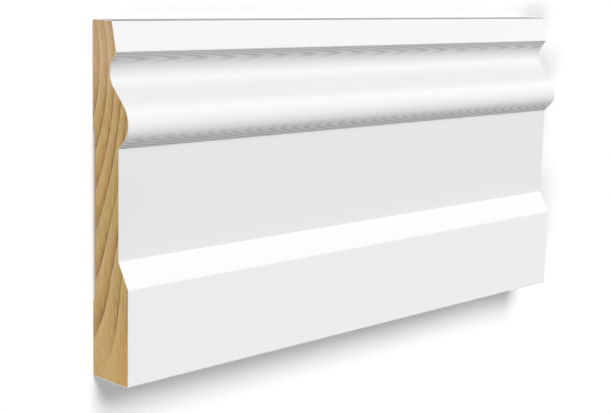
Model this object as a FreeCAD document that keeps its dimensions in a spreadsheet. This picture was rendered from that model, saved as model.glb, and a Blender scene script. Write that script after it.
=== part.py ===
import FreeCAD, Part
import math
import os
import Sketcher

# A short length of skirting board, planed and moulded from one piece of softwood.
# It lies on its relieved back with the moulded face up. X runs along the board and Y
# across it, from the edge that meets the floor to the top edge that meets the wall.
# Z is the depth, from the back that lies against the wall to the show face. The
# origin is on the back plane, midway between the ends and between the two edges.

# Millimetres and degrees. Angles are measured from the plane of the board's face.
SIZES = {
    "board_length": 280.0,
    "board_height": 140.0,
    "board_thickness": 22.0,
    # Flat fascia along the top edge, which leans back towards the wall.
    "fascia_height": 11.6,
    "fascia_batter": 2.7,
    # The lower corner of the fascia stands behind the show face by this much.
    "lip_setback": 7.4,
    "undercut_angle": 37.0,
    # Hollow under the fascia, which runs into the ogee slope and the round.
    "cove_sink": 3.8,
    "cove_radius": 8.0,
    "ogee_angle": 43.5,
    "crown_radius": 11.5,
    "nose_radius": 7.5,
    "nose_angle": 45.0,
    # Flat panel below the round, the bevel under it and the plinth face.
    "panel_recess": 5.9,
    "bevel_angle": 30.0,
    "plinth_height": 38.6,
    # Shallow channel planed along the back, between two lands.
    "lower_land": 30.5,
    "upper_land": 40.0,
    "relief_depth": 1.75,
    "relief_angle": 30.0,
    # Rounding of the long show-side arrises, which keeps paint on them.
    "arris_radius": 0.6,
}

# An edge is found within this distance of its place, and a cut agrees within this share.
POINT_MATCH = 0.001
CUT_MATCH = 0.001


def write_sizes(doc):
    """Put the driving dimensions in a sheet, one named cell each."""
    sheet = doc.addObject("Spreadsheet::Sheet", "Sizes")
    for row, (name, value) in enumerate(SIZES.items(), start=1):
        sheet.set(f"A{row}", name.replace("_", " "))
        sheet.set(f"B{row}", str(value))
        sheet.setAlias(f"B{row}", name)
    doc.recompute()
    return sheet


def section_points(sheet):
    """Corners and arc centres of the section, as (across the board, depth)."""
    half = sheet.board_height / 2
    face = sheet.board_thickness
    panel = face - sheet.panel_recess
    lip = face - sheet.lip_setback
    bevel = math.radians(sheet.bevel_angle)
    undercut = math.radians(sheet.undercut_angle)
    ogee = math.radians(sheet.ogee_angle)
    nose = math.radians(sheet.nose_angle)

    at = {}
    at["floor_back"] = (-half, 0.0)
    at["floor_front"] = (-half, face)
    at["plinth_top"] = (-half + sheet.plinth_height, face)
    at["bevel_foot"] = (at["plinth_top"][0] + sheet.panel_recess / math.tan(bevel), panel)
    at["top_back"] = (half, 0.0)
    at["top_front"] = (half, lip - sheet.fascia_batter)
    at["lip_corner"] = (half - sheet.fascia_height, lip)

    cove_height = lip - sheet.cove_sink + sheet.cove_radius
    cove_end_depth = cove_height - sheet.cove_radius * math.cos(undercut)
    cove_end = at["lip_corner"][0] - (lip - cove_end_depth) / math.tan(undercut)
    cove_across = cove_end - sheet.cove_radius * math.sin(undercut)
    at["cove_centre"] = (cove_across, cove_height)
    at["cove_end"] = (cove_end, cove_end_depth)
    at["cove_start"] = (
        cove_across - sheet.cove_radius * math.sin(ogee),
        cove_height - sheet.cove_radius * math.cos(ogee),
    )

    crown_height = face - sheet.crown_radius
    slope_depth = crown_height + sheet.crown_radius * math.cos(ogee)
    slope_run = (slope_depth - at["cove_start"][1]) / math.tan(ogee)
    slope_across = at["cove_start"][0] - slope_run
    crown_across = slope_across - sheet.crown_radius * math.sin(ogee)
    at["slope_start"] = (slope_across, slope_depth)
    at["crown_centre"] = (crown_across, crown_height)
    at["crown_top"] = (crown_across, face)

    nose_height = face - sheet.nose_radius
    nose_depth = nose_height + sheet.nose_radius * math.cos(nose)
    nose_across = crown_across - sheet.nose_radius * math.sin(nose)
    at["nose_centre"] = (crown_across, nose_height)
    at["nose_start"] = (nose_across, nose_depth)
    at["nose_foot"] = (nose_across - (nose_depth - panel) / math.tan(nose), panel)
    return at


def sketch_on_section_plane(body, name):
    """Add an empty sketch on the body's own YZ plane, square to the length."""
    sketch = body.newObject("Sketcher::SketchObject", name)
    plane = [p for p in body.Origin.OriginFeatures if p.Role == "YZ_Plane"][0]
    sketch.AttachmentSupport = [(plane, "")]
    sketch.MapMode = "FlatFace"
    return sketch


def vector(point):
    return FreeCAD.Vector(point[0], point[1], 0)


def add_line(sketch, start, end):
    return sketch.addGeometry(Part.LineSegment(vector(start), vector(end)), False)


def add_arc(sketch, centre, start, end):
    """Arc that runs anticlockwise about its centre from start to end."""
    radius = math.dist(centre, start)
    first = math.atan2(start[1] - centre[1], start[0] - centre[0])
    last = math.atan2(end[1] - centre[1], end[0] - centre[0])
    circle = Part.Circle(vector(centre), FreeCAD.Vector(0, 0, 1), radius)
    return sketch.addGeometry(Part.ArcOfCircle(circle, first, last), False)


def bind(sketch, name, constraint, formula):
    """Add a constraint, name it and tie its value to the sheet."""
    index = sketch.addConstraint(constraint)
    sketch.renameConstraint(index, name)
    sketch.setExpression(f"Constraints.{name}", formula)


def draw_section(body, sheet):
    """Full outline of the moulding, closed along the back plane."""
    at = section_points(sheet)
    sketch = sketch_on_section_plane(body, "Section")
    rule = Sketcher.Constraint
    start, end, centre = 1, 2, 3
    origin, across_axis = -1, -1

    floor_edge = add_line(sketch, at["floor_back"], at["floor_front"])
    plinth = add_line(sketch, at["floor_front"], at["plinth_top"])
    bevel = add_line(sketch, at["plinth_top"], at["bevel_foot"])
    panel = add_line(sketch, at["bevel_foot"], at["nose_foot"])
    under_nose = add_line(sketch, at["nose_foot"], at["nose_start"])
    nose = add_arc(sketch, at["nose_centre"], at["crown_top"], at["nose_start"])
    crown = add_arc(sketch, at["crown_centre"], at["slope_start"], at["crown_top"])
    ogee = add_line(sketch, at["slope_start"], at["cove_start"])
    cove = add_arc(sketch, at["cove_centre"], at["cove_start"], at["cove_end"])
    undercut = add_line(sketch, at["cove_end"], at["lip_corner"])
    fascia = add_line(sketch, at["lip_corner"], at["top_front"])
    top_edge = add_line(sketch, at["top_front"], at["top_back"])
    back = add_line(sketch, at["top_back"], at["floor_back"])

    # Sharp corners, and square edges.
    for first, second in (
        (floor_edge, plinth),
        (plinth, bevel),
        (bevel, panel),
        (panel, under_nose),
        (undercut, fascia),
        (fascia, top_edge),
        (top_edge, back),
        (back, floor_edge),
    ):
        sketch.addConstraint(rule("Coincident", first, end, second, start))
    for upright in (floor_edge, top_edge):
        sketch.addConstraint(rule("Vertical", upright))
    for level in (plinth, panel, back):
        sketch.addConstraint(rule("Horizontal", level))
    sketch.addConstraint(rule("PointOnObject", back, end, across_axis))

    # The curves run into each other and into their straights without a corner.
    for first, first_end, second, second_end in (
        (under_nose, end, nose, end),
        (nose, start, crown, end),
        (crown, start, ogee, start),
        (ogee, end, cove, start),
        (cove, end, undercut, start),
    ):
        sketch.addConstraint(rule("Tangent", first, first_end, second, second_end))
    sketch.addConstraint(rule("Vertical", nose, centre, nose, start))

    half = sheet.board_height / 2
    face = sheet.board_thickness
    lip = face - sheet.lip_setback
    bind(sketch, "half_height", rule("DistanceX", origin, 1, back, start, half), "Sizes.board_height / 2")
    bind(sketch, "height", rule("DistanceX", back, end, back, start, 2 * half), "Sizes.board_height")
    bind(sketch, "thickness", rule("DistanceY", floor_edge, start, floor_edge, end, face),
         "Sizes.board_thickness")
    bind(sketch, "plinth", rule("DistanceX", plinth, start, plinth, end, sheet.plinth_height),
         "Sizes.plinth_height")
    bind(sketch, "bevel", rule("Angle", bevel, -math.radians(sheet.bevel_angle)), "-Sizes.bevel_angle")
    bind(sketch, "recess", rule("DistanceY", bevel, end, bevel, start, sheet.panel_recess),
         "Sizes.panel_recess")
    bind(sketch, "nose_slope", rule("Angle", under_nose, math.radians(sheet.nose_angle)),
         "Sizes.nose_angle")
    bind(sketch, "nose_radius", rule("Radius", nose, sheet.nose_radius), "Sizes.nose_radius")
    bind(sketch, "crown_depth", rule("DistanceY", origin, 1, nose, start, face), "Sizes.board_thickness")
    bind(sketch, "crown_radius", rule("Radius", crown, sheet.crown_radius), "Sizes.crown_radius")
    bind(sketch, "ogee_slope", rule("Angle", ogee, -math.radians(sheet.ogee_angle)), "-Sizes.ogee_angle")
    bind(sketch, "cove_radius", rule("Radius", cove, sheet.cove_radius), "Sizes.cove_radius")
    bind(sketch, "cove_depth", rule("DistanceY", origin, 1, cove, centre, at["cove_centre"][1]),
         "Sizes.board_thickness - Sizes.lip_setback - Sizes.cove_sink + Sizes.cove_radius")
    bind(sketch, "undercut_slope", rule("Angle", undercut, math.radians(sheet.undercut_angle)),
         "Sizes.undercut_angle")
    bind(sketch, "lip", rule("DistanceY", origin, 1, fascia, start, lip),
         "Sizes.board_thickness - Sizes.lip_setback")
    bind(sketch, "fascia", rule("DistanceX", fascia, start, fascia, end, sheet.fascia_height),
         "Sizes.fascia_height")
    bind(sketch, "batter", rule("DistanceY", fascia, end, fascia, start, sheet.fascia_batter),
         "Sizes.fascia_batter")
    return sketch


def draw_relief(body, sheet):
    """Section of the channel along the back, wider at its mouth than at its floor."""
    half = sheet.board_height / 2
    low, high = -half + sheet.lower_land, half - sheet.upper_land
    depth = sheet.relief_depth
    lean = depth / math.tan(math.radians(sheet.relief_angle))
    corners = [(low, 0.0), (low + lean, depth), (high - lean, depth), (high, 0.0)]
    sketch = sketch_on_section_plane(body, "ReliefSection")
    rule = Sketcher.Constraint
    start, end = 1, 2
    origin, across_axis = -1, -1

    low_side = add_line(sketch, corners[0], corners[1])
    floor = add_line(sketch, corners[1], corners[2])
    high_side = add_line(sketch, corners[2], corners[3])
    mouth = add_line(sketch, corners[3], corners[0])
    outline = (low_side, floor, high_side, mouth)
    for first, second in zip(outline, outline[1:] + outline[:1]):
        sketch.addConstraint(rule("Coincident", first, end, second, start))
    sketch.addConstraint(rule("Horizontal", floor))
    sketch.addConstraint(rule("Horizontal", mouth))
    sketch.addConstraint(rule("PointOnObject", mouth, end, across_axis))

    slope = math.radians(sheet.relief_angle)
    bind(sketch, "low_slope", rule("Angle", low_side, slope), "Sizes.relief_angle")
    bind(sketch, "high_slope", rule("Angle", high_side, -slope), "-Sizes.relief_angle")
    bind(sketch, "depth", rule("DistanceY", low_side, start, low_side, end, depth), "Sizes.relief_depth")
    bind(sketch, "low_mouth", rule("DistanceX", mouth, end, origin, 1, -low),
         "Sizes.board_height / 2 - Sizes.lower_land")
    bind(sketch, "high_mouth", rule("DistanceX", origin, 1, mouth, start, high),
         "Sizes.board_height / 2 - Sizes.upper_land")
    return sketch


def edges_along_board(shape, places):
    """Names of the long edges that pass through the given (across, depth) places."""
    names = []
    for across, depth in places:
        for index, edge in enumerate(shape.Edges, start=1):
            ends = [v.Point for v in edge.Vertexes]
            if all(math.hypot(p.y - across, p.z - depth) < POINT_MATCH for p in ends):
                names.append(f"Edge{index}")
    return names


def make_board(doc, sheet):
    """The moulded length, the channel along its back and its eased arrises."""
    body = doc.addObject("PartDesign::Body", "SkirtingBoard")
    body.Label = "skirting_board"
    section = draw_section(body, sheet)
    doc.recompute()

    length = body.newObject("PartDesign::Pad", "Length")
    length.Profile = section
    length.SideType = "Symmetric"
    length.setExpression("Length", "Sizes.board_length")
    doc.recompute()

    relief_section = draw_relief(body, sheet)
    relief = body.newObject("PartDesign::Pocket", "BackRelief")
    relief.Profile = relief_section
    relief.SideType = "Symmetric"
    relief.setExpression("Length", "Sizes.board_length")
    doc.recompute()
    removed = length.Shape.Volume - relief.Shape.Volume
    channel = Part.Face(relief_section.Shape).Area * sheet.board_length
    if abs(removed - channel) > CUT_MATCH * channel:
        raise RuntimeError(f"the back relief removed {removed:.1f} of {channel:.1f} cubic mm")

    at = section_points(sheet)
    places = [at[name] for name in ("floor_front", "plinth_top", "lip_corner", "top_front")]
    arrises = edges_along_board(relief.Shape, places)
    if len(arrises) != len(places):
        raise RuntimeError("a long arris was not found")
    easing = body.newObject("PartDesign::Fillet", "EasedArrises")
    easing.Base = (relief, arrises)
    easing.setExpression("Radius", "Sizes.arris_radius")
    doc.recompute()
    return body


def check_document(doc, boards):
    """Stop before anything is written if an object failed or a shape is unsound."""
    for item in doc.Objects:
        if {"Invalid", "Error"} & set(item.State):
            raise RuntimeError(f"{item.Name} failed: {item.State}")
        if item.TypeId == "Sketcher::SketchObject" and item.solve() != 0:
            raise RuntimeError(f"{item.Name} does not solve")
    for board in boards:
        if board.Shape.isNull() or not board.Shape.isValid() or len(board.Shape.Solids) != 1:
            raise RuntimeError(f"{board.Label} is not one sound solid")


def main():
    doc = FreeCAD.newDocument("SkirtingBoardLength")
    sheet = write_sizes(doc)
    boards = [make_board(doc, sheet)]
    check_document(doc, boards)
    os.makedirs("parts", exist_ok=True)
    for board in boards:
        board.Shape.exportStep(os.path.join("parts", f"{board.Label}.step"))
        box = board.Shape.BoundBox
        print(f"{board.Label}: {box.XLength:.2f} x {box.YLength:.2f} x {box.ZLength:.2f} mm, "
              f"{board.Shape.Volume / 1000:.1f} cubic cm, {len(board.Shape.Faces)} faces")


main()
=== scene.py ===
# %% [markdown]
# # A length of painted skirting board
#
# Skirting board is softwood that a spindle moulder has run to a section, and that is
# then sprayed white. The piece here is a short sample of it, sawn square at both ends,
# so the bare pine shows there while the face and the arrises carry the paint.
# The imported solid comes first, because everything else is measured from it.

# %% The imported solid
import math

import bpy
import bmesh
from mathutils import Matrix, Vector
from mathutils.geometry import delaunay_2d_cdt


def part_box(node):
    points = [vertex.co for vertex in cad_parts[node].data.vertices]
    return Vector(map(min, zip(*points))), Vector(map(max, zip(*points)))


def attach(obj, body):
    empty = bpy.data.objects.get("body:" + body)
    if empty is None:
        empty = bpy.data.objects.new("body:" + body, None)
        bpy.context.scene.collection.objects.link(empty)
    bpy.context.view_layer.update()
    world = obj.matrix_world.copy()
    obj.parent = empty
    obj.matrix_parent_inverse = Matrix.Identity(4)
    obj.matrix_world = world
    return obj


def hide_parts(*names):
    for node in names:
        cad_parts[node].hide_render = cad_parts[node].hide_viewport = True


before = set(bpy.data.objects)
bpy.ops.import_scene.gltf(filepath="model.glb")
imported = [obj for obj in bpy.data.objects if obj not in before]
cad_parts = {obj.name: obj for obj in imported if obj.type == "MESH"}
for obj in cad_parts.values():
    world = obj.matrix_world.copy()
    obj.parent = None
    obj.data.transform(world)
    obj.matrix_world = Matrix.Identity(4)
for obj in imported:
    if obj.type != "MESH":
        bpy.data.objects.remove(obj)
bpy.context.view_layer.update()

MM = 0.001
board_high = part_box("skirting_board")[1]
half_length = board_high.x / MM
half_height = board_high.y / MM
thickness = board_high.z / MM
print("length", 2 * half_length, "height", 2 * half_height, "thickness", thickness)

# %% [markdown]
# ## The section
#
# The shape of a moulding is one outline that runs the whole length. A moulder's knife
# is ground from straights and arcs, so the outline is written the same way: a list of
# corners, each with the radius that rounds it. The other way would be to copy the
# solid's mesh, but that has only as many facets as the pack gave it, and the shading of
# white paint shows every facet.
# Sizes are millimetres. Across the board is y, from the floor edge up, and depth is z,
# out from the wall.

# %% The knife's own sizes
FASCIA_HEIGHT = 11.6
FASCIA_BATTER = 2.7
LIP_SETBACK = 7.4
UNDERCUT = math.radians(37.0)
COVE_SINK = 3.8
COVE_RADIUS = 8.0
OGEE_SLOPE = math.radians(43.5)
CROWN_RADIUS = 11.5
NOSE_RADIUS = 7.5
NOSE_SLOPE = math.radians(45.0)
PANEL_RECESS = 5.9
BEVEL_SLOPE = math.radians(30.0)
PLINTH_HEIGHT = 38.6
LOWER_LAND = 30.5
UPPER_LAND = 40.0
RELIEF_DEPTH = 1.75
RELIEF_SLOPE = math.radians(30.0)
EASED = 0.6
print("plinth", PLINTH_HEIGHT, "mm high, panel", PANEL_RECESS, "mm behind the face")

# %% Corners of the show side, from the floor edge up to the top edge
panel_z = thickness - PANEL_RECESS
lip_y = half_height - FASCIA_HEIGHT
lip_z = thickness - LIP_SETBACK
cove_floor_z = lip_z - COVE_SINK
bevel_top_y = PLINTH_HEIGHT - half_height
bevel_foot_y = bevel_top_y + PANEL_RECESS / math.tan(BEVEL_SLOPE)
cove_tangent = COVE_RADIUS * math.tan((UNDERCUT + OGEE_SLOPE) / 2)
cove_rise = COVE_RADIUS * (1 - math.cos(UNDERCUT))
cove_z = cove_floor_z + cove_rise - cove_tangent * math.sin(UNDERCUT)
cove_y = lip_y - (lip_z - cove_z) / math.tan(UNDERCUT)
ogee_top_y = cove_y - (thickness - cove_z) / math.tan(OGEE_SLOPE)
crown_y = ogee_top_y - CROWN_RADIUS * math.tan(OGEE_SLOPE / 2)
nose_y = crown_y - NOSE_RADIUS * math.tan(NOSE_SLOPE / 2)
nose_foot_y = nose_y - (thickness - panel_z) / math.tan(NOSE_SLOPE)

show_corners = [
    (-half_height, 0.0, 0.0),
    (-half_height, thickness, EASED),
    (bevel_top_y, thickness, EASED),
    (bevel_foot_y, panel_z, 0.0),
    (nose_foot_y, panel_z, 0.0),
    (nose_y, thickness, NOSE_RADIUS),
    (ogee_top_y, thickness, CROWN_RADIUS),
    (cove_y, cove_z, COVE_RADIUS),
    (lip_y, lip_z, EASED),
    (half_height, lip_z - FASCIA_BATTER, EASED),
    (half_height, 0.0, 0.0),
]
print("nose foot y", round(nose_foot_y, 2), "crown y", round(crown_y, 2))

# %% Corners of the back, from the top edge down to the floor edge
relief_run = RELIEF_DEPTH / math.tan(RELIEF_SLOPE)
back_corners = [
    (half_height - UPPER_LAND, 0.0, 0.0),
    (half_height - UPPER_LAND - relief_run, RELIEF_DEPTH, 0.0),
    (-half_height + LOWER_LAND + relief_run, RELIEF_DEPTH, 0.0),
    (-half_height + LOWER_LAND, 0.0, 0.0),
]
print("back relief", round(relief_run, 2), "mm of slope on each side")

# %% [markdown]
# ## From corners to points
#
# Each radius becomes an arc in steps of three degrees, which is finer than the eye sees
# at this size. A point stands close to each end of every long straight, so that smooth
# shading turns within that narrow strip, and the wide flats stay flat.

# %% Arcs at the rounded corners
ARC_STEP = math.radians(3.0)
FEWEST_STEPS = 2
SAME_POINT = 0.001


def arc_points(before, here, after):
    """The points of the arc that rounds one corner."""
    corner = Vector(here[:2])
    radius = here[2]
    towards_before = (Vector(before[:2]) - corner).normalized()
    towards_after = (Vector(after[:2]) - corner).normalized()
    opening = towards_before.angle(towards_after)
    reach = radius / math.tan(opening / 2)
    middle = (towards_before + towards_after).normalized()
    centre = corner + middle * radius / math.sin(opening / 2)
    first = corner + towards_before * reach - centre
    last = corner + towards_after * reach - centre
    turn = first.angle_signed(last)
    steps = max(FEWEST_STEPS, math.ceil(abs(turn) / ARC_STEP))
    return [centre + Matrix.Rotation(-turn * i / steps, 2) @ first for i in range(steps + 1)]


def rounded(corners, closed_by):
    """The corners with their radii as arcs, between the two corners that close the line."""
    points = []
    ring = [closed_by[0]] + corners + [closed_by[1]]
    for before, here, after in zip(ring, ring[1:], ring[2:]):
        points += arc_points(before, here, after) if here[2] else [Vector(here[:2])]
    apart = [b for a, b in zip(points, points[1:]) if (b - a).length > SAME_POINT]
    return points[:1] + apart


show_line = rounded(show_corners, (back_corners[-1], back_corners[0]))
back_line = rounded(back_corners, (show_corners[-1], show_corners[0]))
print("points on the show side", len(show_line), "and on the back", len(back_line))

# %% Points on the straights
GUARD = 0.4
LONG_STRAIGHT = 3 * GUARD
WIDEST = 4.0


def with_guards(line):
    """The line with a point near each end of its long straights, and even points between."""
    filled = [line[0]]
    for start, end in zip(line, line[1:]):
        span = (end - start).length
        if span > LONG_STRAIGHT:
            along = (end - start) / span
            inner = span - 2 * GUARD
            pieces = max(1, math.ceil(inner / WIDEST))
            filled += [start + along * (GUARD + inner * i / pieces) for i in range(pieces + 1)]
        filled.append(end)
    return filled


painted_line = with_guards(show_line)
bare_line = with_guards([show_line[-1]] + back_line + [show_line[0]])
section = painted_line + bare_line[1:-1]
print("points round the section", len(section), "of which painted", len(painted_line))

# %% [markdown]
# ## Setting the section against the solid
#
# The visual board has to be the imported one, only finer. Every vertex of the packed
# solid is held against this outline, and the script stops if one of them stands off it
# by more than the pack's own faceting.

# %% The largest gap between the outline and the solid
PACK_FACETS = 0.07


def gap_to_section(y, z):
    """Distance in millimetres from a point to the nearest side of the section."""
    nearest = math.inf
    spot = Vector((y, z))
    for start, end in zip(section, section[1:] + section[:1]):
        side = end - start
        share = max(0.0, min(1.0, (spot - start).dot(side) / side.length_squared))
        nearest = min(nearest, (spot - start - side * share).length)
    return nearest


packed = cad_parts["skirting_board"].data
packed_spots = {(round(v.co.y / MM, 3), round(v.co.z / MM, 3)) for v in packed.vertices}
worst_gap = max(gap_to_section(y, z) for y, z in packed_spots)
print("largest gap to the packed solid", round(worst_gap, 3), "mm")
if worst_gap > PACK_FACETS:
    raise ValueError("the outline has left the packed solid")

# %% [markdown]
# ## Sweeping the board
#
# The section is repeated along the length and skinned with quads, as a moulder would
# feed the stock past the knife. At each sawn end the paint is cut through with the
# wood, so its edge shows as a thin pale line round the bare face. That line is a strip
# of its own in the end face, one film of paint wide, and the wood fills what is inside.
# A simple fill would leave triangles with no area where points lie in a row along a
# straight. A Delaunay fill gives each of them a far corner, so every face is a real one.
# Each point also keeps how far round the section it lies, because grain that shows
# through the paint has to follow the face round its curves.

# %% How far round the section each point lies
run_round = [0.0]
for start, end in zip(section, section[1:]):
    run_round.append(run_round[-1] + (end - start).length)


def run_at(y, z):
    """The run round the section at the point nearest to y, z."""
    nearest = min(range(len(section)), key=lambda i: (section[i] - Vector((y, z))).length)
    return run_round[nearest]


lip_run = run_at(lip_y, lip_z)
nose_foot_run = run_at(nose_foot_y, panel_z)
bevel_foot_run = run_at(bevel_foot_y, panel_z)
print("run at the nose foot", round(nose_foot_run, 2), "and at the lip", round(lip_run, 2))

# %% The painted line moved in by one film of paint
FILM = 0.16


def moved_in(index):
    """A section point moved into the board by the film, or left as it is on the bare back."""
    here = section[index]
    if index == 0 or index >= len(painted_line) - 1:
        return here
    before = (here - section[index - 1]).normalized()
    after = (section[index + 1] - here).normalized()
    inward = Vector((before.y + after.y, -before.x - after.x)).normalized()
    half_turn_cosine = math.sqrt((1 + before.dot(after)) / 2)
    return here + inward * FILM / half_turn_cosine


inner_section = [moved_in(i) for i in range(len(section))]
print("film", FILM, "mm, first point moved to", tuple(round(c, 2) for c in inner_section[1]))

# %% Skinning
COLUMN = 4.0
PAINT, SAWN, PLANED = 0, 1, 2


def ring_of_points(mesh, x, line):
    """One copy of a line of points at x, as mesh vertices."""
    return [mesh.verts.new((x * MM, p.x * MM, p.y * MM)) for p in line]


def skin(mesh):
    """Quads between neighbouring copies of the section; gives back the first and last copy."""
    columns = round(2 * half_length / COLUMN)
    rings = []
    for column in range(columns + 1):
        x = -half_length + 2 * half_length * column / columns
        rings.append(ring_of_points(mesh, x, section))
    for left, right in zip(rings, rings[1:]):
        for i in range(len(section)):
            j = (i + 1) % len(section)
            face = mesh.faces.new((left[i], left[j], right[j], right[i]))
            face.smooth = True
            face.material_index = PAINT if 0 < j < len(painted_line) else PLANED
    return rings[0], rings[-1]


# %% Closing the sawn ends
INSIDE_ONLY = 1


def close_end(mesh, ring, x):
    """The cut edge of the paint as a strip, and the sawn wood inside it."""
    inner = []
    for i, point in enumerate(inner_section):
        shared = (point - section[i]).length < SAME_POINT
        inner.append(ring[i] if shared else mesh.verts.new((x * MM, point.x * MM, point.y * MM)))
    for i in range(len(painted_line) - 1):
        corners = [ring[i], ring[i + 1], inner[i + 1], inner[i]]
        corners = list(dict.fromkeys(corners))
        mesh.faces.new(corners).material_index = PAINT
    outline = [list(range(len(inner)))]
    filled = delaunay_2d_cdt(inner_section, [], outline, INSIDE_ONLY, SAME_POINT)
    triangles, came_from = filled[2], filled[3]
    for corners in triangles:
        mesh.faces.new([inner[came_from[i][0]] for i in corners]).material_index = SAWN


def build_board():
    """The whole board as one closed mesh."""
    mesh = bmesh.new()
    near, far = skin(mesh)
    close_end(mesh, near, -half_length)
    close_end(mesh, far, half_length)
    bmesh.ops.recalc_face_normals(mesh, faces=mesh.faces)
    data = bpy.data.meshes.new("skirting_board_dressed")
    mesh.to_mesh(data)
    mesh.free()
    return data


board_mesh = build_board()
board = bpy.data.objects.new("skirting_board_dressed", board_mesh)
bpy.context.scene.collection.objects.link(board)
sawn_area = sum(face.area for face in board_mesh.polygons if face.material_index == SAWN)
print("faces", len(board_mesh.polygons), "sawn wood", round(sawn_area / MM ** 2), "mm2")

# %% The run round the section, kept on the mesh
SHARP_TURN = math.radians(25.0)

run_layer = board_mesh.attributes.new("section_run", "FLOAT", "POINT")
run_values = [run_at(vertex.co.y / MM, vertex.co.z / MM) for vertex in board_mesh.vertices]
run_layer.data.foreach_set("value", run_values)
board_mesh.set_sharp_from_angle(angle=SHARP_TURN)
print("runs from", round(min(run_values), 1), "to", round(max(run_values), 1), "mm")

# %% [markdown]
# ## Writing a finish as sums
#
# A finish in Blender is a web of small nodes. Written out one by one they hide the
# idea, so a socket is wrapped in a small class, and adding or multiplying two of them
# makes the Math node that does it. Every other node comes from one method, which takes
# the node's type, its settings and what goes into its sockets.

# %% A socket that can be used in sums
class Signal:
    """One output socket of a finish."""

    def __init__(self, finish, socket):
        self.finish = finish
        self.socket = socket

    def maths(self, operation, *values):
        """A Math node on the values, in this signal's finish."""
        return self.finish.node("Math", {"operation": operation}, values)

    def __add__(self, other):
        return self.maths("ADD", self, other)

    def __radd__(self, other):
        return self.maths("ADD", other, self)

    def __sub__(self, other):
        return self.maths("SUBTRACT", self, other)

    def __rsub__(self, other):
        return self.maths("SUBTRACT", other, self)

    def __mul__(self, other):
        return self.maths("MULTIPLY", self, other)

    def __rmul__(self, other):
        return self.maths("MULTIPLY", other, self)

    def __truediv__(self, other):
        return self.maths("DIVIDE", self, other)

    def __rtruediv__(self, other):
        return self.maths("DIVIDE", other, self)

    def __pow__(self, other):
        return self.maths("POWER", self, other)

    def __rpow__(self, other):
        return self.maths("POWER", other, self)

    def other(self, name):
        """Another output of the same node."""
        return Signal(self.finish, self.socket.node.outputs[name])


# %% A finish and its nodes
def set_stops(ramp, stops):
    """Gives a colour ramp its stops, each a place from 0 to 1 and a colour."""
    while len(ramp.elements) < len(stops):
        ramp.elements.new(1.0)
    for element, (place, colour) in zip(ramp.elements, stops):
        element.position = place
        element.color = (*colour, 1.0)


class Finish:
    """A material that starts empty, or the node tree of a world."""

    def __init__(self, holder):
        holder.use_nodes = True
        self.holder = holder
        self.tree = holder.node_tree
        self.tree.nodes.clear()

    def feed(self, socket, value):
        """Links a signal into a socket, or sets a plain value on it."""
        if isinstance(value, Signal):
            self.tree.links.new(value.socket, socket)
        elif socket.type == "RGBA":
            socket.default_value = (*value[:3], 1.0)
        else:
            socket.default_value = value

    def node(self, kind, settings, inputs):
        """Adds a node; inputs are in the order of its sockets, or a dict by socket name."""
        made = self.tree.nodes.new("ShaderNode" + kind)
        for name, value in settings.items():
            if name == "stops":
                set_stops(made.color_ramp, value)
            else:
                setattr(made, name, value)
        if isinstance(inputs, dict):
            pairs = [(made.inputs[name], value) for name, value in inputs.items()]
        else:
            pairs = zip([socket for socket in made.inputs if socket.enabled], inputs)
        for socket, value in pairs:
            self.feed(socket, value)
        usable = [socket for socket in made.outputs if socket.enabled]
        return Signal(self, usable[0]) if usable else None


# %% Colours as they look on a screen
SCREEN_FOOT, FOOT_SLOPE = 0.04045, 12.92
SCREEN_LIFT, SCREEN_POWER = 0.055, 2.4


def light_of(value):
    """The light that one screen value, 0 to 255, stands for."""
    share = value / 255
    if share <= SCREEN_FOOT:
        return share / FOOT_SLOPE
    return ((share + SCREEN_LIFT) / (1 + SCREEN_LIFT)) ** SCREEN_POWER


def seen_as(red, green, blue):
    """A colour given as it looks on a screen, as the light it stands for."""
    return light_of(red), light_of(green), light_of(blue)


print("a middle grey reflects", round(seen_as(128, 128, 128)[0], 3), "of the light")

# %% Easing and tinting
def ease(value, start, end):
    """Rises smoothly from 0 at start to 1 at end."""
    settings = {"interpolation_type": "SMOOTHSTEP"}
    return value.finish.node("MapRange", settings, [value, start, end, 0.0, 1.0])


def tint(share, under, over):
    """Colour under, changed to colour over by share."""
    return share.finish.node("Mix", {"data_type": "RGBA"}, [share, under, over])


def tinted_by(cause, colour, tints):
    """The colour after some tints: where each sets in, where it is full, its share and shade."""
    for sets_in, full, share, shade in tints:
        colour = tint(ease(cause, sets_in, full) * share, colour, shade)
    return colour


# %% Places and clouds
def place_in_mm(finish):
    """Along the board, up from its floor edge and out from the wall, in millimetres."""
    parts = finish.node("SeparateXYZ", {}, [finish.node("TexCoord", {}, {}).other("Object")])
    return parts / MM, parts.other("Y") / MM + half_height, parts.other("Z") / MM


def in_lumps(spot, size):
    """A spot, three signals or numbers, counted in lumps of a size along each."""
    return spot[0].finish.node("CombineXYZ", {}, [s / length for s, length in zip(spot, size)])


def cloud(spot, size, detail=2.0):
    """Noise from 0 to 1, in soft lumps of a size."""
    inputs = {"Vector": in_lumps(spot, size), "Scale": 1.0, "Detail": detail, "Roughness": 0.5}
    return spot[0].finish.node("TexNoise", {}, inputs)


def swing(spot, size, detail=2.0):
    """The same noise on both sides of zero."""
    return cloud(spot, size, detail) - 0.5


# %% Colour, roughness and relief as one surface
def surface(finish, colour, roughness, relief, bump_strength, plain_values):
    """Ends a finish. Relief is in millimetres, and the bump takes it as metres."""
    bump = {"Strength": bump_strength, "Distance": 1.0, "Height": relief * MM}
    inputs = {"Base Color": colour, "Roughness": roughness, "Normal": finish.node("Bump", {}, bump)}
    inputs.update(plain_values)
    finish.node("OutputMaterial", {}, [finish.node("BsdfPrincipled", {}, inputs)])
    return finish.holder


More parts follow.
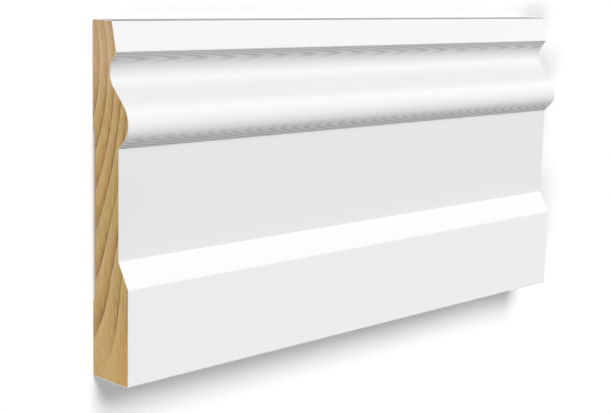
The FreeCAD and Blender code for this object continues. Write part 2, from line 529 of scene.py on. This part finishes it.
# %% [markdown]
# ## The pine
#
# The board was cut from the side of a log, so its end shows growth rings as arcs. They
# run nearly up and down near the top edge and lean away towards the back lower down.
# Each ring is pale where the tree grew fast in spring and darkens to a hard brown line,
# and the next spring starts abruptly on the side towards the bark, which here is the
# show side.
# The rings could be circles round a pith, but real ones are never quite round. So every
# point in space gets a smooth ring number instead, bent to suit the sawn end, and the
# whole numbers are the hard lines. Along the board the log tapers and its figure
# wanders. It is all one formula, so both ends and the planed back show the same tree,
# where an image of wood would stop at every arris.
# The colour drifts too: paler near the top and the floor edge, and orange with resin
# behind the plinth's face.

# %% The rings as a formula
RINGS_UP = (4.285, -3.923, -1.075, 1.493, 1.732)
RINGS_OUT, RINGS_TURN, RINGS_BEND = 1.667, 0.853, 0.290
MID_DEPTH, DEPTH_REACH = 9.0, 11.0
LOG_TAPER = 1 / 400
WAVER, WAVER_LUMPS = 0.3, (260.0, 24.0, 16.0)
FIGURE, FIGURE_LUMPS = 1.3, (95.0, 45.0, 1.0)
FIGURE_SLICE = 4.0
FIGURE_FROM = 90.0


def ring_count(along, height, depth):
    """Which ring a point is in: whole numbers fall on the hard brown lines."""
    up = height / half_height - 1.0
    out = (depth - MID_DEPTH) / DEPTH_REACH
    *lower_terms, count = RINGS_UP
    for term in reversed(lower_terms):
        count = up * count + term
    count = count + out * (up * RINGS_TURN + out * RINGS_BEND + RINGS_OUT)
    waver = swing((along, height, depth), WAVER_LUMPS)
    figure = swing((along, height, FIGURE_SLICE), FIGURE_LUMPS, detail=1.0)
    figure = figure * ease(along, -half_length, FIGURE_FROM - half_length)
    return count + (along + half_length) * LOG_TAPER + waver * WAVER + figure * FIGURE


# %% The colours of one ring
RING_COLOURS = [
    (0.00, seen_as(203, 174, 122)),
    (0.15, seen_as(199, 169, 115)),
    (0.40, seen_as(191, 159, 102)),
    (0.65, seen_as(182, 148, 89)),
    (0.80, seen_as(168, 132, 74)),
    (0.90, seen_as(148, 112, 58)),
    (0.955, seen_as(126, 93, 46)),
    (0.985, seen_as(112, 81, 39)),
    (1.00, seen_as(203, 174, 122)),
]
print("one ring runs through", len(RING_COLOURS), "colours")

# %% Where the wood's colour drifts
TOP_BAND = (104.0, 128.0)
PALE_TOP, PALE_TOP_SHARE, PALE_TOP_LOSS = seen_as(210, 184, 146), 0.8, 0.45
ROSY_TOP, ROSY_TOP_SHARE = seen_as(200, 162, 128), 0.35
PALE_FOOT = [(27.0, 8.0, 0.85, seen_as(204, 172, 110))]
RESIN_DEPTHS, RESIN_HEIGHTS = (11.0, 20.0), (42.0, 8.0)
RESIN_ORANGE, RESIN_SHARE = seen_as(200, 152, 82), 0.75
YEAR_LUMPS, YEAR_STEP = (400.0, 26.0, 1.0), 0.9
YEAR_TINTS = [
    (0.52, 0.66, 0.28, seen_as(200, 154, 104)),
    (0.46, 0.34, 0.40, seen_as(184, 157, 92)),
]
STREAK_LUMPS = (90.0, 5.0, 0.6)
STREAK_TINTS = [
    (0.50, 0.70, 0.42, seen_as(216, 184, 124)),
    (0.50, 0.30, 0.32, seen_as(160, 119, 58)),
]


def pine_colour(along, height, depth):
    """The colour of the wood and how far across its ring a point lies."""
    count = ring_count(along, height, depth)
    across = count.maths("FRACT", count)
    colour = count.finish.node("ValToRGB", {"stops": RING_COLOURS}, [across])
    top = ease(height, *TOP_BAND)
    colour = tint(top * (PALE_TOP_SHARE - across * PALE_TOP_LOSS), colour, PALE_TOP)
    colour = tint(top * across * ROSY_TOP_SHARE, colour, ROSY_TOP)
    colour = tinted_by(height, colour, PALE_FOOT)
    resin = ease(depth, *RESIN_DEPTHS) * ease(height, *RESIN_HEIGHTS)
    colour = tint(resin * RESIN_SHARE, colour, RESIN_ORANGE)
    year = cloud((along, height, count * YEAR_STEP), YEAR_LUMPS)
    colour = tinted_by(year, colour, YEAR_TINTS)
    streak = cloud((along, height, depth), STREAK_LUMPS, detail=3.0)
    return tinted_by(streak, colour, STREAK_TINTS), across


# %% Resin canals
def resin_canals(spot, cells, edge, rarity):
    """1 in a resin canal, 0 outside: one to a cell, and only in the cells that are rare."""
    finish = spot[0].finish
    canal = finish.node("TexVoronoi", {}, {"Vector": in_lumps(spot, cells), "Scale": 1.0})
    rare = finish.node("SeparateColor", {}, [canal.other("Color")])
    return ease(canal, *edge) * ease(rare, *rarity)


WOOD_VALUES = {"IOR": 1.45}

# %% [markdown]
# ## The sawn end
#
# A fine blade leaves the end flat but dull, with faint marks across it and here and
# there the dark mouth of a resin canal. Undercoat that came round to the back has bled
# into the open grain along the two lands, as a thin grey margin. The marks could be cut
# into the mesh, but they are far finer than its faces, so they are a bump, and the
# colour carries the rest.

# %% Marks on the sawn pine
MOUTH_CELLS, MOUTH_EDGE, MOUTH_RARITY = (60.0, 2.6, 2.6), (0.13, 0.08), (0.86, 0.88)
MOUTH_BROWN, MOUTH_SHARE = seen_as(104, 72, 36), 0.8
UPPER_START = 2 * half_height - UPPER_LAND
LAND_FADE = 1.0
# Grey of the undercoat margin on the sawn end, and of the painted shade on the top edge.
UNDERCOAT_AND_SHADE_GREY = seen_as(176, 177, 178)
BLED_IN, BLED_SHARE = (0.8, 0.1), 0.6
FIBRE_LUMPS = (1.0, 0.16, 0.3)
FIBRE_TINT = [(0.45, 0.80, 0.12, seen_as(236, 212, 168))]
BLADE_LUMPS = (1.0, 9.0, 0.22)
FIBRE_HEIGHT, BLADE_HEIGHT, HARD_LINE_DEPTH, MOUTH_DEPTH = 0.02, 0.012, 0.02, 0.05
SAWN_BUMP = 0.7
SAWN_ROUGH, SAWN_ROUGHER = 0.72, 0.12


def undercoat_margin(spot):
    """How much undercoat has bled in from the back: on the two lands, not in the relief."""
    height, depth = spot[1:]
    above_lower = ease(height, LOWER_LAND, LOWER_LAND + LAND_FADE)
    below_upper = ease(height, UPPER_START, UPPER_START - LAND_FADE)
    return ease(depth, *BLED_IN) * (1.0 - above_lower * below_upper) * BLED_SHARE


# %% Sawn pine
def sawn_pine():
    """The dull end grain of both ends."""
    finish = Finish(bpy.data.materials.new("sawn_pine"))
    spot = place_in_mm(finish)
    colour, across = pine_colour(*spot)
    mouth = resin_canals(spot, MOUTH_CELLS, MOUTH_EDGE, MOUTH_RARITY)
    colour = tint(mouth * MOUTH_SHARE, colour, MOUTH_BROWN)
    colour = tint(undercoat_margin(spot), colour, UNDERCOAT_AND_SHADE_GREY)
    fibre = cloud(spot, FIBRE_LUMPS)
    blade = cloud(spot, BLADE_LUMPS, detail=1.0)
    colour = tinted_by(fibre, colour, FIBRE_TINT)
    relief = fibre * FIBRE_HEIGHT + blade * BLADE_HEIGHT
    relief = relief - across * HARD_LINE_DEPTH - mouth * MOUTH_DEPTH
    roughness = SAWN_ROUGH + fibre * SAWN_ROUGHER
    return surface(finish, colour, roughness, relief, SAWN_BUMP, WOOD_VALUES)


# %% [markdown]
# ## The planed back
#
# The back goes against the wall, so nobody paints it. It is planed, which leaves the
# grain clean, with pores, short dark streaks of resin, and faint ripples where each
# knife of the planer struck. Spray that came round the arrises has dusted its edges
# white. It has the same rings as the ends, only seen along the grain.

# %% Marks on the planed pine
PORE_LUMPS = (5.0, 0.22, 0.3)
PORE_TINT = [(0.62, 0.80, 0.30, seen_as(150, 112, 62))]
DASH_CELLS, DASH_EDGE, DASH_RARITY = (34.0, 2.3, 2.3), (0.12, 0.04), (0.7, 0.74)
DASH_BROWN, DASH_SHARE = seen_as(122, 84, 44), 0.6
SPRAY_REACH = 3.5
SPRAY_END = SPRAY_REACH * 1.6
SPRAY_LUMPS = (3.0, 1.6, 1.0)
SPRAY_WHITE, SPRAY_SHARE = seen_as(236, 235, 231), 0.8
KNIFE_PITCH = 1.6
RIPPLE_HEIGHT, PORE_HEIGHT, HARD_LINE_HEIGHT = 0.003, -0.01, 0.008
PLANED_BUMP = 0.8
PLANED_ROUGH, PLANED_ROUGHER = 0.6, 0.15


def overspray(spot):
    """How much spray came round the floor edge and the top edge, with a ragged limit."""
    height = spot[1]
    top = 2 * half_height
    ragged = cloud(spot, SPRAY_LUMPS, detail=3.0) * SPRAY_REACH
    from_floor_edge = ease(height + ragged, SPRAY_END, 0.0)
    from_top_edge = ease(height - ragged, top - SPRAY_END, top)
    return (from_floor_edge + from_top_edge) * SPRAY_SHARE


# %% Planed pine
def planed_pine():
    """The clean grain of the back."""
    finish = Finish(bpy.data.materials.new("planed_pine"))
    spot = place_in_mm(finish)
    colour, across = pine_colour(*spot)
    pore = cloud(spot, PORE_LUMPS)
    colour = tinted_by(pore, colour, PORE_TINT)
    dash = resin_canals(spot, DASH_CELLS, DASH_EDGE, DASH_RARITY)
    colour = tint(dash * DASH_SHARE, colour, DASH_BROWN)
    colour = tint(overspray(spot), colour, SPRAY_WHITE)
    knife_turn = spot[0] * (2 * math.pi / KNIFE_PITCH)
    ripple = knife_turn.maths("SINE", knife_turn)
    relief = ripple * RIPPLE_HEIGHT + pore * PORE_HEIGHT + across * HARD_LINE_HEIGHT
    roughness = PLANED_ROUGH + pore * PLANED_ROUGHER
    return surface(finish, colour, roughness, relief, PLANED_BUMP, WOOD_VALUES)


# %% [markdown]
# ## The paint
#
# The paint is a satin white, sprayed and smooth over a grey undercoat. Where the
# moulder's knife cut the grain at an angle, under the lip and under the round, the soft
# part of each ring sinks by a few hundredths of a millimetre and drinks the paint. It
# shows as a fine grey streak, and the streaks fold into arrowheads: to the right under
# the lip and to the left under the round.
# An image of grain could be wrapped round the curves. Here a formula draws the streaks
# instead, from the run round the section that each point keeps. It gives both their grey
# in the colour and the sunken line.
# The coat's colour also carries painted shade: a grey on those undersides, a grey band
# along the slope between cove and round, a greyer white down in the recessed panel, and
# a grey top edge with a darker grey front arris. The grey of the streaks, kept to the
# undersides, deepens that painted shade.

# %% The two undersides, in millimetres from the lip and from the foot of the round
UNDER_LIP = {
    "middle": 3.7, "softness": 1.1, "pitch": 15.5, "closing": 0.66, "leaning": -0.19,
    "tips_at": 5.0, "wander": 0.8, "wander_length": 60.0, "drift": 1.6, "drift_length": 50.0,
    "seed": 3.0, "edge": (-0.1, 0.3), "streaks_fade": (7.0, 2.0),
    "painted_shade_fade": (16.0, 4.0), "painted_shade_share": 0.54,
}
UNDER_NOSE = {
    "middle": 4.1, "softness": 1.3, "pitch": -7.0, "closing": 0.45, "leaning": -0.30,
    "tips_at": 5.2, "wander": 0.5, "wander_length": 40.0, "drift": 3.0, "drift_length": 70.0,
    "seed": 8.0, "edge": (0.0, 0.2), "streaks_fade": (8.4, 1.8),
    "painted_shade_fade": (10.0, 2.0), "painted_shade_share": 0.34,
}
print("streaks every", UNDER_LIP["pitch"], "mm under the lip, and", -UNDER_NOSE["pitch"],
      "mm under the round")

# %% Streaks that fold into arrowheads
WANDER_RUN = 7.0
BROAD_GROOVE = 0.8


def arrowheads(along, run, side):
    """Streaks nearly parallel with the board that fold back at one height, from 0 to 1."""
    drift = swing((along, side["seed"], 0.0), (side["drift_length"], 1.0, 1.0), detail=0.0)
    off = run - drift * side["drift"] - side["middle"]
    folded = (off * off + side["softness"] ** 2) ** 0.5
    wander = swing((along, run, side["seed"]), (side["wander_length"], WANDER_RUN, 1.0))
    phase = along / side["pitch"] + folded * side["closing"] + off * side["leaning"]
    turns = (phase + wander * side["wander"]) * (2 * math.pi)
    groove = 0.5 - turns.maths("COSINE", turns) * 0.5
    return groove ** (ease(run, 0.0, side["tips_at"]) + BROAD_GROOVE)


def underside(along, run, side):
    """The streaks on one underside, and the painted shade on it."""
    inside = ease(run, *side["edge"])
    streaks = arrowheads(along, run, side) * inside * ease(run, *side["streaks_fade"])
    painted_shade = inside * ease(run, *side["painted_shade_fade"]) * side["painted_shade_share"]
    return streaks, painted_shade


# %% The top edge's painted shade
RAGGED, RAGGED_LUMPS = 0.16, (6.0, 0.8, 1.0)
TURNED_UP = (0.60, 0.74)
TOP_EDGE_HEIGHTS = (139.2, 139.6)
ARRIS_TURN = (0.999, 0.96)
ARRIS_SHADE_GREY = seen_as(132, 133, 134)


def top_edge_painted_shade(along, run, height):
    """Where the top edge is painted grey, and its front arris darker grey, as painted shade."""
    facing = along.finish.node("TexCoord", {}, {}).other("Normal")
    up = along.finish.node("SeparateXYZ", {}, [facing]).other("Y")
    ragged = cloud((along, run, 0.0), RAGGED_LUMPS, detail=3.0) * RAGGED
    top_edge = ease(up + ragged, *TURNED_UP) * ease(height, *TOP_EDGE_HEIGHTS)
    return top_edge, top_edge * ease(up, *ARRIS_TURN)


# %% White satin paint
PAINT_WHITE = seen_as(246, 246, 246)
# A greyer white for the recessed panel: painted shade.
PANEL_SHADE_WHITE = seen_as(236, 236, 236)
# The grey of the grain streaks, and of the painted shade on the undersides and slope.
GRAIN_AND_SHADE_GREY = seen_as(198, 198, 199)
RECESS_EDGE = 0.1
RECESS_END = (0.2, -0.1)
# A grey band along the middle of the slope between cove and round: painted shade.
RISE_MIDDLE, RISE_REACH, RISE_SHARE = 19.1, 8.0, 0.26
RISE_EVEN, RISE_GRAINED = 0.75, 0.5
STREAK_SHARE, STREAK_DEPTH = 0.75, 0.035
GRAIN_LUMPS, GRAIN_HEIGHT = (70.0, 0.9, 1.0), 0.004
GRAIN_TINT = [(0.55, 0.80, 0.05, seen_as(226, 225, 222))]
PEEL_LUMPS, PEEL_HEIGHT = (1.4, 1.4, 1.4), 0.0022
PAINT_BUMP = 1.0
SATIN, PEEL_ROUGHER, EDGE_ROUGHER = 0.54, 0.06, 0.2
PAINT_VALUES = {"IOR": 1.5, "Specular IOR Level": 0.35}


def white_satin_paint():
    """The sprayed coat on the face and the two edges."""
    finish = Finish(bpy.data.materials.new("white_satin_paint"))
    along, height, depth = place_in_mm(finish)
    run = finish.node("Attribute", {"attribute_name": "section_run"}, {}).other("Fac")
    down_from_lip = lip_run - run
    up_from_foot = run - nose_foot_run
    cove_streaks, cove_painted_shade = underside(along, down_from_lip, UNDER_LIP)
    nose_streaks, nose_painted_shade = underside(along, up_from_foot, UNDER_NOSE)
    streaks = cove_streaks + nose_streaks
    painted_shade = cove_painted_shade + nose_painted_shade
    grain = cloud((along, run, 0.0), GRAIN_LUMPS, detail=3.0)
    peel = cloud((along, run, depth), PEEL_LUMPS)
    # The slope's band of painted shade, a little grainy.
    rise = (down_from_lip - RISE_MIDDLE) / RISE_REACH
    rise_painted_shade = ease(rise * rise, 1.0, 0.0) * (RISE_EVEN + grain * RISE_GRAINED)
    # The recessed panel gets a greyer white, as painted shade.
    past_bevel = ease(run, bevel_foot_run - RECESS_EDGE, bevel_foot_run + RECESS_EDGE)
    panel_painted_shade = past_bevel * ease(up_from_foot, *RECESS_END)
    shade = tint(panel_painted_shade, PAINT_WHITE, PANEL_SHADE_WHITE)
    # Grain streaks, plus painted shade on the undersides and the slope band, all in grey.
    shade = tint(streaks * STREAK_SHARE + painted_shade + rise_painted_shade * RISE_SHARE, shade, GRAIN_AND_SHADE_GREY)
    shade = tinted_by(grain, shade, GRAIN_TINT)
    # The top edge painted grey and its front arris darker grey: painted shade.
    top_edge, arris_painted_shade = top_edge_painted_shade(along, run, height)
    shade = tint(top_edge, shade, UNDERCOAT_AND_SHADE_GREY)
    shade = tint(arris_painted_shade, shade, ARRIS_SHADE_GREY)
    relief = streaks * -STREAK_DEPTH + peel * PEEL_HEIGHT + grain * GRAIN_HEIGHT
    roughness = SATIN + peel * PEEL_ROUGHER + top_edge * EDGE_ROUGHER
    return surface(finish, shade, roughness, relief, PAINT_BUMP, PAINT_VALUES)


# %% The three finishes on the board
for finish_on_board in (white_satin_paint(), sawn_pine(), planed_pine()):
    board_mesh.materials.append(finish_on_board)
print("finishes", [material.name for material in board_mesh.materials])

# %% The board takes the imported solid's place
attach(board, "root")
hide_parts("skirting_board")

# %% [markdown]
# ## Floor and light
#
# The photograph has a white ground that fades out with no edge, and a wide soft light
# from beyond the top edge of the board, which leaves the undersides of the moulding
# grey and throws a soft shadow past the floor edge. A sun lamp with a very wide disc
# gives the same light at every point of the board, where a panel lamp would fall off
# along it. A second one, on the left and on the side of the floor edge, softens the
# undersides and reaches the sawn end, and a weak low one lights the far end.
# The floor is a pale diffuse sheet that keeps the shadow. What it gives back to the
# board is the light of a pale sheet, but the camera sees it whiter, so that it meets
# the white surroundings without an edge.

# %% Pale floor
FLOOR_REACH = 6.0
FLOOR_DROP = 0.0002
FLOOR_WHITE = (0.92, 0.92, 0.92)
FLOOR_SEEN = (1.135, 1.135, 1.135)


def seen_directly(finish):
    """1 for what the camera sees, itself or in a gloss or through glass."""
    ray = finish.node("LightPath", {}, {})
    direct = ray + ray.other("Is Glossy Ray") + ray.other("Is Transmission Ray")
    return direct.maths("MINIMUM", direct, 1.0)


def pale_floor():
    """A matt sheet that the camera sees a little whiter than it is."""
    finish = Finish(bpy.data.materials.new("pale_floor"))
    matt = finish.node("BsdfDiffuse", {}, {"Color": FLOOR_WHITE})
    white = finish.node("BsdfDiffuse", {}, {"Color": FLOOR_SEEN})
    seen = finish.node("MixShader", {}, [seen_directly(finish), matt, white])
    finish.node("OutputMaterial", {}, [seen])
    return finish.holder


floor_mesh = bpy.data.meshes.new("floor")
floor_corners = [(-FLOOR_REACH, -FLOOR_REACH), (FLOOR_REACH, -FLOOR_REACH),
                 (FLOOR_REACH, FLOOR_REACH), (-FLOOR_REACH, FLOOR_REACH)]
floor_mesh.from_pydata([(x, y, -FLOOR_DROP) for x, y in floor_corners], [], [(0, 1, 2, 3)])
floor_mesh.materials.append(pale_floor())
floor = bpy.data.objects.new("floor", floor_mesh)
bpy.context.scene.collection.objects.link(floor)
print("floor", 2 * FLOOR_REACH, "m across")

# %% White surroundings
WHITE = (1.0, 1.0, 1.0)
AMBIENT = 0.05
SEEN_WHITE = 1.0


def surroundings():
    """A world that lights the board weakly and looks white."""
    world = bpy.data.worlds.new("white_studio")
    bpy.context.scene.world = world
    finish = Finish(world)
    light = finish.node("Background", {}, {"Color": WHITE, "Strength": AMBIENT})
    white = finish.node("Background", {}, {"Color": WHITE, "Strength": SEEN_WHITE})
    seen = finish.node("MixShader", {}, [seen_directly(finish), light, white])
    finish.node("OutputWorld", {}, [seen])


surroundings()
print("light from the surroundings", AMBIENT)

# %% Three soft lights: name, where from, strength, and the disc's width in degrees
SOFT_LIGHTS = [
    ("window_light", (-0.11, 0.623, 0.769), 2.58, 34.0),
    ("side_fill", (-0.80, -0.33, 0.50), 1.2, 20.0),
    ("far_fill", (0.9, 0.1, 0.15), 0.5, 20.0),
]
LAMP_DISTANCE = 2.0

for name, comes_from, strength, disc in SOFT_LIGHTS:
    lamp = bpy.data.lights.new(name, "SUN")
    lamp.energy = strength
    lamp.angle = math.radians(disc)
    holder = bpy.data.objects.new(name, lamp)
    holder.rotation_mode = "QUATERNION"
    holder.rotation_quaternion = Vector(comes_from).to_track_quat("Z", "Y")
    holder.location = Vector(comes_from).normalized() * LAMP_DISTANCE
    bpy.context.scene.collection.objects.link(holder)
    print(name, "from", tuple(round(c, 2) for c in holder.location.normalized()))

# %% [markdown]
# ## The camera
#
# In the photograph the board stands on its floor edge, and the camera looks down on it
# a little and from the left. Here the board lies on its back, so the same view is found
# by placing the camera round the standing board first and then laying board and camera
# down together. The standing board has x along it, y into the wall and z up.

# %% Where the camera stands, round the standing board
CAMERA_YAW = math.radians(45.7204)
CAMERA_PITCH = math.radians(9.8695)
CAMERA_ROLL = math.radians(-1.4691)
CAMERA_PLACE = (-298.816, -406.011, 156.709)

forward = Vector((
    math.sin(CAMERA_YAW) * math.cos(CAMERA_PITCH),
    math.cos(CAMERA_YAW) * math.cos(CAMERA_PITCH),
    -math.sin(CAMERA_PITCH),
))
level_right = Vector((math.cos(CAMERA_YAW), -math.sin(CAMERA_YAW), 0.0))
level_down = forward.cross(level_right)
picture_right = math.cos(CAMERA_ROLL) * level_right + math.sin(CAMERA_ROLL) * level_down
picture_down = math.cos(CAMERA_ROLL) * level_down - math.sin(CAMERA_ROLL) * level_right
print("looks along", tuple(round(c, 3) for c in forward))

# %% Laid down with the board
LENS = 76.950
SENSOR_WIDTH = 36.0
NEAREST_SEEN = 0.01


def laid_down(direction):
    """A direction round the standing board, turned with it as it is laid on its back."""
    return Vector((direction.x, direction.z, -direction.y))


camera_axes = Matrix((
    laid_down(picture_right), laid_down(-picture_down), laid_down(-forward),
)).transposed()
from_left_end, from_back, from_floor = CAMERA_PLACE
camera_spot = Vector((
    (from_left_end - half_length) * MM,
    (from_floor - half_height) * MM,
    -from_back * MM,
))
camera = bpy.data.objects.new("camera", bpy.data.cameras.new("camera"))
camera.data.lens = LENS
camera.data.sensor_width = SENSOR_WIDTH
camera.data.clip_start = NEAREST_SEEN
camera.matrix_world = Matrix.Translation(camera_spot) @ camera_axes.to_4x4()
bpy.context.scene.collection.objects.link(camera)
bpy.context.scene.camera = camera
bpy.context.scene.view_settings.view_transform = "Standard"
print("camera at", tuple(round(c, 3) for c in camera_spot))
